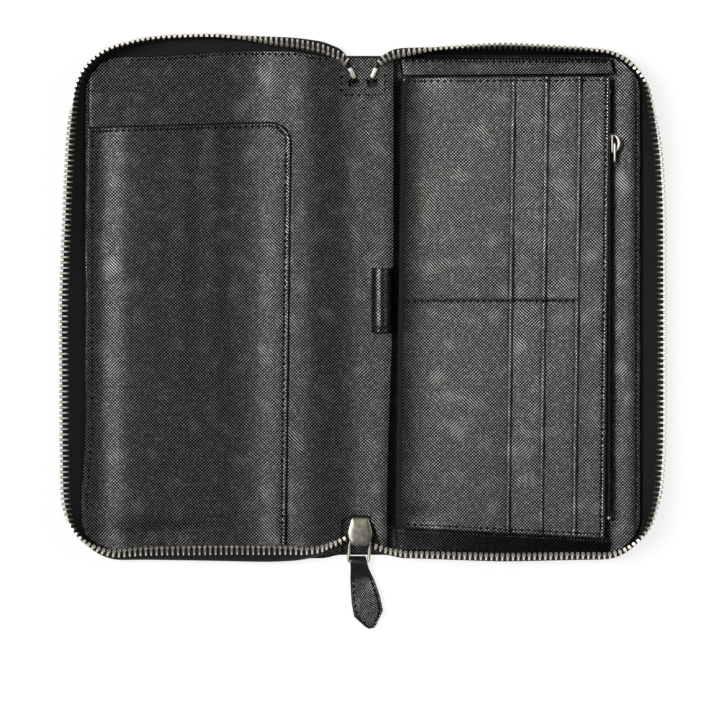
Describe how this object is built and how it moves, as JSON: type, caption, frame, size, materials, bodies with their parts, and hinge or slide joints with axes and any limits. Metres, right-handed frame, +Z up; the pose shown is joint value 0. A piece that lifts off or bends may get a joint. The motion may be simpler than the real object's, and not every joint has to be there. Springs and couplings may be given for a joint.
{
  "type": "travel document organizer",
  "caption": "Zip-around leather travel document organizer lying open, with folding covers, slip pocket, pen loop, stepped card slots on a bellows pouch, and a leather-tabbed zip slider.",
  "frame": {"origin": "middle of the spine's outer face, on the plane that the open organizer lies on", "axes": "+X towards the card side's fore edge, +Y towards the top of the pages (away from the slider), +Z up out of the open pages"},
  "size_m": [0.2478, 0.2423, 0.0139],
  "materials": {
    "leather": "black cross-grained leather, satin",
    "lining_leather": "black cross-grained lining leather, satin",
    "board": "grey stiffener board, matte",
    "tape": "black woven zip tape, matte",
    "coil": "black nylon coil",
    "metal": "nickel-plated, slightly warm"
  },
  "bodies": {
    "spine": {"spine_cover": "leather", "spine_board": "board", "spine_lining": "lining_leather", "pen_loop": "lining_leather", "left_zip_end": "tape", "right_zip_end": "tape", "left_top_stop": "metal", "right_top_stop": "metal", "left_strand_tape": "tape", "left_strand_teeth": "metal", "right_strand_tape": "tape", "right_strand_teeth": "metal", "zip_tail": "metal"},
    "left_cover": {"left_cover": "leather", "left_board": "board", "left_lining": "lining_leather", "left_slip_pocket": "lining_leather", "left_zip_tape": "tape", "left_zip_teeth": "metal"},
    "right_cover": {"right_cover": "leather", "right_board": "board", "right_lining": "lining_leather", "right_zip_tape": "tape", "right_zip_teeth": "metal", "gusset_top": "lining_leather", "gusset_bottom": "lining_leather"},
    "card_pouch": {"pouch_back": "lining_leather", "card_panel_base": "lining_leather", "card_panel_third": "lining_leather", "card_panel_second": "lining_leather", "card_panel_front": "lining_leather", "inner_zip_tape_back": "tape", "inner_zip_tape_card": "tape", "inner_zip_coil_back": "coil", "inner_zip_coil_card": "coil", "inner_zip_stop_top": "metal", "inner_zip_stop_bottom": "metal"},
    "zip_slider": {"zip_slider": "metal"},
    "pull_bail": {"pull_bail": "metal"},
    "pull_tab": {"pull_tab": "lining_leather"},
    "inner_slider": {"inner_slider": "metal"},
    "inner_pull": {"inner_pull": "metal"}
  },
  "joints": [
    {"name": "left_fold", "type": "hinge", "parent": "spine", "child": "left_cover", "pos_m": [-0.011, 0, 0.0032], "axis": [0, 1, 0], "range_deg": [0, 90]},
    {"name": "right_fold", "type": "hinge", "parent": "spine", "child": "right_cover", "pos_m": [0.011, 0, 0.0032], "axis": [0, -1, 0], "range_deg": [0, 90], "deforming": ["pen_loop"]},
    {"name": "pouch_lift", "type": "hinge", "parent": "right_cover", "child": "card_pouch", "pos_m": [0.0134, 0, 0.0035], "axis": [0, -1, 0], "range_deg": [0, 5], "deforming": ["gusset_top", "gusset_bottom"]},
    {"name": "slider_travel", "type": "slide", "parent": "spine", "child": "zip_slider", "axis": [0, -1, 0], "range_m": [0, 0.006]},
    {"name": "bail_swing", "type": "hinge", "parent": "zip_slider", "child": "pull_bail", "pos_m": [-0.0012, -0.09645, 0.00325], "axis": [-1, 0, 0], "range_deg": [-7, 10]},
    {"name": "tab_swing", "type": "hinge", "parent": "pull_bail", "child": "pull_tab", "pos_m": [-0.0012, -0.10525, 0.00235], "axis": [-1, 0, 0], "range_deg": [-45, 90]},
    {"name": "inner_slider_travel", "type": "slide", "parent": "card_pouch", "child": "inner_slider", "axis": [0, 1, 0], "range_m": [-0.1475, 0.0155]},
    {"name": "inner_pull_swing", "type": "hinge", "parent": "inner_slider", "child": "inner_pull", "pos_m": [0.10282, 0.066, 0.01066], "axis": [0, 0, 1], "range_deg": [0, 170]}
  ]
}
